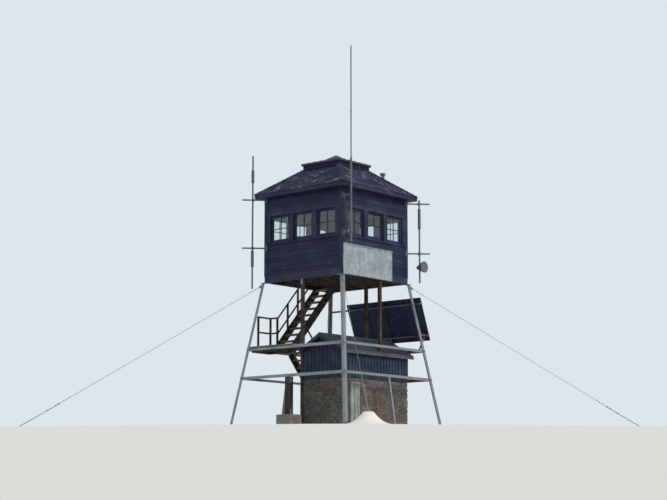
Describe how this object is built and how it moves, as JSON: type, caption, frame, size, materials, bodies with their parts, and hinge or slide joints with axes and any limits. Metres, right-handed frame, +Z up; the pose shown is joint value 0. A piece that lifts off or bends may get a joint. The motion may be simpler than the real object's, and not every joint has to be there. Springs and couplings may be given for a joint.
{
  "type": "fire lookout tower",
  "caption": "Small square lookout cab on splayed steel legs, with an open stair, a stone and board shed below, panel array, masts and taut guys.",
  "frame": {"origin": "on the ground, at the middle of the four legs", "axes": "+Z up; the front, with the landing at its left, faces -Y; the right side, with the shed, faces +X"},
  "size_m": [13.56, 13.56, 11.21],
  "materials": {
    "galvanised_steel": "weathered galvanised, dull",
    "dark_timber": "weathered dark timber",
    "grey_timber": "weathered grey boards",
    "concrete": "rough cast concrete",
    "cab_siding": "dark navy painted boards",
    "grey_panel": "faded grey sheet",
    "window_glass": "clear",
    "ceiling_board": "plain board",
    "eave_paint": "dark navy paint",
    "roof_shingle": "weathered navy shingles",
    "crown_sheet": "dark navy painted sheet",
    "rubble_stone": "rubble with lichen",
    "shed_boards": "dark blue-grey paint",
    "shed_roof_sheet": "dark roof sheet",
    "pale_board": "pale faded paint",
    "solar_panel": "dark laminate in a metal frame",
    "mast_metal": "dull grey",
    "guy_cable": "stranded galvanised"
  },
  "bodies": {
    "root": {"leg_front_left": "galvanised_steel", "leg_front_right": "galvanised_steel", "leg_back_left": "galvanised_steel", "leg_back_right": "galvanised_steel", "front_girts": "galvanised_steel", "right_girts": "galvanised_steel", "back_girts": "galvanised_steel", "left_girts": "galvanised_steel", "foot_posts": "galvanised_steel", "front_foot_post": "dark_timber", "front_foot_block": "concrete", "cab_posts": "dark_timber", "floor_frame": "dark_timber", "cab_floor": "dark_timber", "front_wall": "cab_siding", "right_wall": "cab_siding", "back_wall": "cab_siding", "left_wall": "cab_siding", "window_glass": "window_glass", "right_wall_panel": "grey_panel", "ceiling": "ceiling_board", "soffit": "eave_paint", "fascia": "eave_paint", "roof": "roof_shingle", "crown_walls": "crown_sheet", "crown_roof": "crown_sheet", "ventilator": "crown_sheet", "vent_pipe": "mast_metal", "landing_deck": "grey_timber", "landing_frame": "dark_timber", "landing_rail": "dark_timber", "upper_stringers": "dark_timber", "upper_treads": "grey_timber", "upper_handrail": "dark_timber", "lower_stringers": "dark_timber", "lower_treads": "grey_timber", "lower_handrail": "dark_timber", "shed_base": "rubble_stone", "shed_boards": "shed_boards", "shed_roof": "shed_roof_sheet", "shed_fascia": "pale_board", "shed_pier": "pale_board", "solar_panels": "solar_panel", "array_frame": "galvanised_steel", "left_mast": "mast_metal", "right_mast": "mast_metal", "main_mast": "mast_metal", "guys": "guy_cable", "guy_anchors": "galvanised_steel"}
  },
  "joints": []
}
